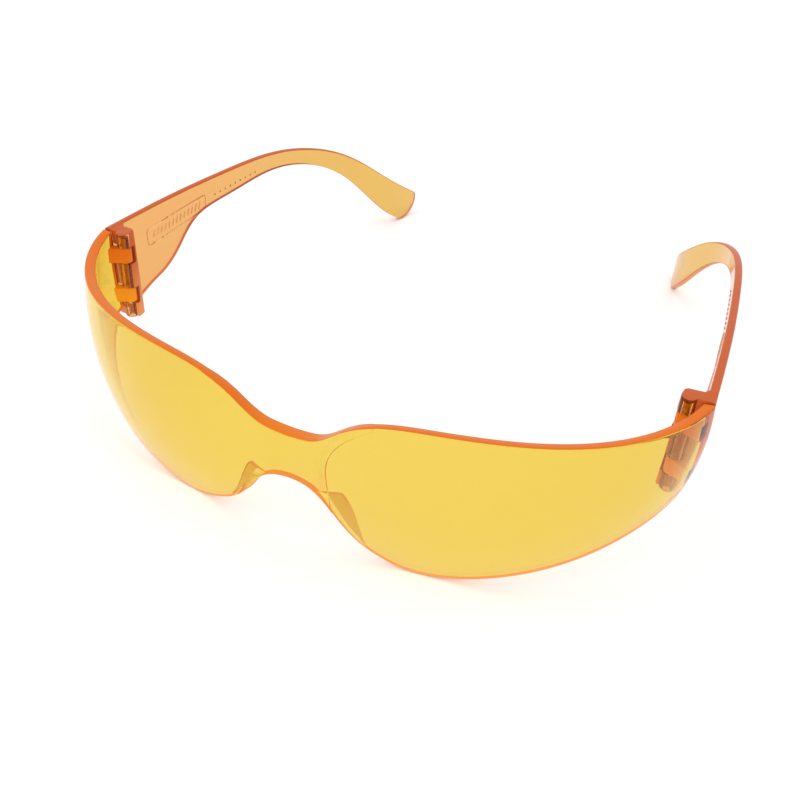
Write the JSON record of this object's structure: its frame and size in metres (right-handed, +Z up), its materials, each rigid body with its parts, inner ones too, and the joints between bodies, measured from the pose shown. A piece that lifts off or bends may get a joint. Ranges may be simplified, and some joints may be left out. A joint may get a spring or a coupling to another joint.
{
  "type": "wraparound safety glasses",
  "caption": "Wraparound safety glasses: a curved amber one-piece lens shield with moulded bridge, nose flanges and hinge lugs, and folding translucent temples on upright metal pins.",
  "frame": {"origin": "on the table under the middle of the open glasses, on their mirror plane", "axes": "+X to the wearer's left, -Y out of the front of the lens, +Y back along the temples, +Z up"},
  "size_m": [0.1448, 0.1638, 0.0393],
  "materials": {
    "amber_lens": "clear, polished",
    "peach_temple": "translucent, polished",
    "pin_steel": "satin"
  },
  "bodies": {
    "shield": {"lens_shield": "amber_lens", "hinge_pin_left": "pin_steel", "hinge_pin_right": "pin_steel"},
    "left_temple": {"temple_left": "peach_temple"},
    "right_temple": {"temple_right": "peach_temple"}
  },
  "joints": [
    {"name": "left_temple_fold", "type": "hinge", "parent": "shield", "child": "left_temple", "pos_m": [0.0669, -0.0429, 0.0265], "axis": [0, 0, 1], "range_deg": [0, 88]},
    {"name": "right_temple_fold", "type": "hinge", "parent": "shield", "child": "right_temple", "pos_m": [-0.0669, -0.0429, 0.0265], "axis": [0, 0, -1], "range_deg": [0, 80]}
  ]
}
